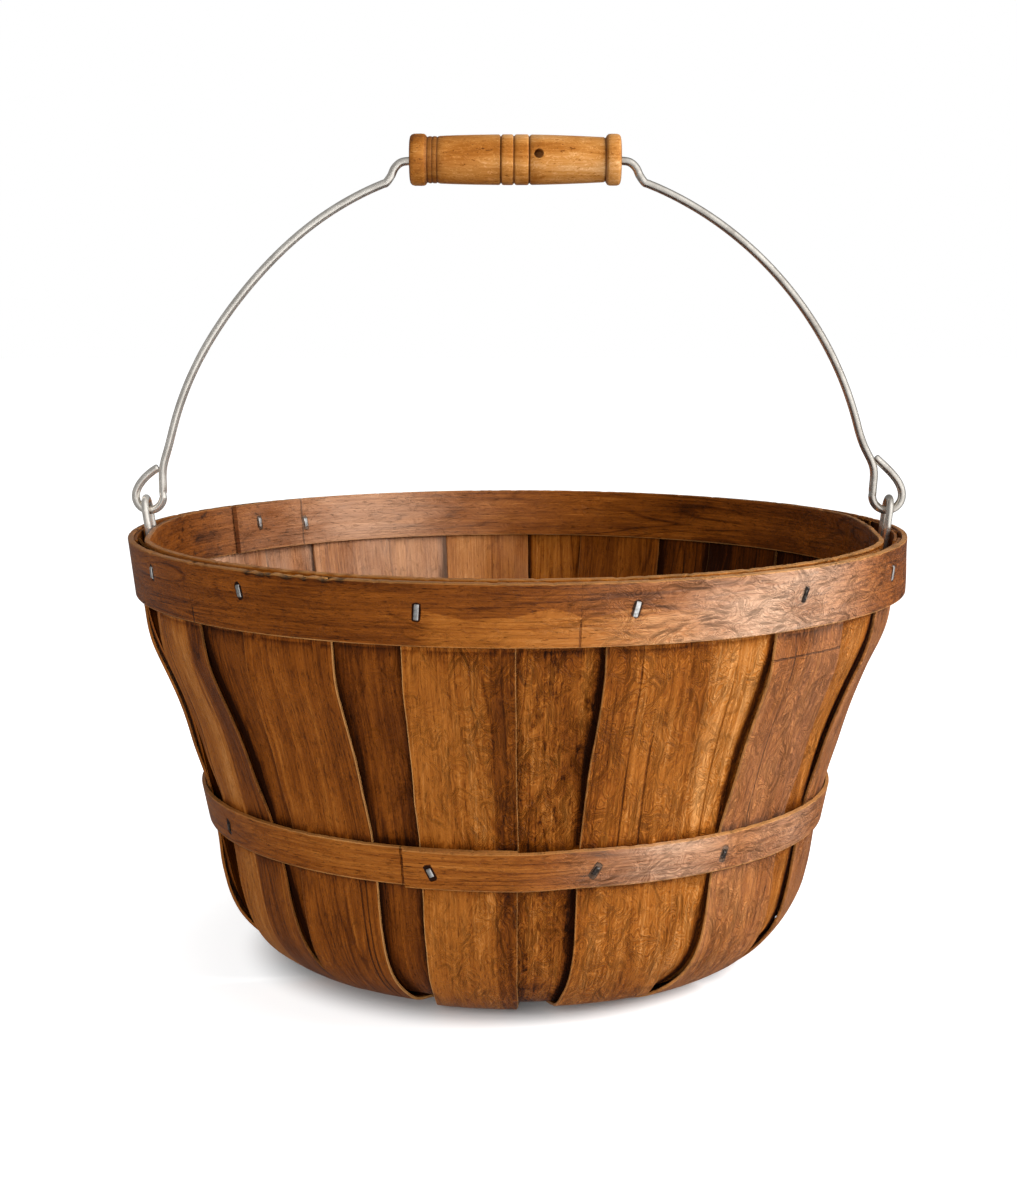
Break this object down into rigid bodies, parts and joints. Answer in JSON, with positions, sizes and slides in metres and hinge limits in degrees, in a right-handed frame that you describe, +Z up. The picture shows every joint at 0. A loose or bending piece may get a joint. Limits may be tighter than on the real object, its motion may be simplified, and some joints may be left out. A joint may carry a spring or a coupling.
{
  "type": "splint basket",
  "caption": "Round tapered veneer splint basket with hoops, wire ears, a swinging wire bail and a turned wooden grip.",
  "frame": {"origin": "on the floor, straight under the middle of the round rim", "axes": "+Z up, X from ear to ear along the bail's hinge axis, -Y the front"},
  "size_m": [0.3866, 0.3857, 0.4121],
  "materials": {
    "splint_wood": "brown stained veneer, satin",
    "hoop_wood": "brown stained bent strip, satin",
    "grip_wood": "oiled turned wood, satin",
    "galvanised_wire": "dull galvanised"
  },
  "bodies": {
    "basket": {"outer_splint_1": "splint_wood", "outer_splint_2": "splint_wood", "outer_splint_3": "splint_wood", "outer_splint_4": "splint_wood", "outer_splint_5": "splint_wood", "outer_splint_6": "splint_wood", "outer_splint_7": "splint_wood", "inner_splint_1": "splint_wood", "inner_splint_2": "splint_wood", "inner_splint_3": "splint_wood", "inner_splint_4": "splint_wood", "inner_splint_5": "splint_wood", "inner_splint_6": "splint_wood", "inner_splint_7": "splint_wood", "top_hoop_outer": "hoop_wood", "top_hoop_inner": "hoop_wood", "middle_hoop": "hoop_wood", "ear_left": "galvanised_wire", "ear_right": "galvanised_wire"},
    "bail": {"bail_wire": "galvanised_wire"},
    "grip_roller": {"grip": "grip_wood"}
  },
  "joints": [
    {"name": "bail_swing", "type": "hinge", "parent": "basket", "child": "bail", "pos_m": [0, 0, 0.226], "axis": [1, 0, 0], "range_deg": [-88, 88]},
    {"name": "grip_spin", "type": "hinge", "parent": "bail", "child": "grip_roller", "pos_m": [0, 0, 0.39948], "axis": [1, 0, 0], "continuous": true}
  ]
}
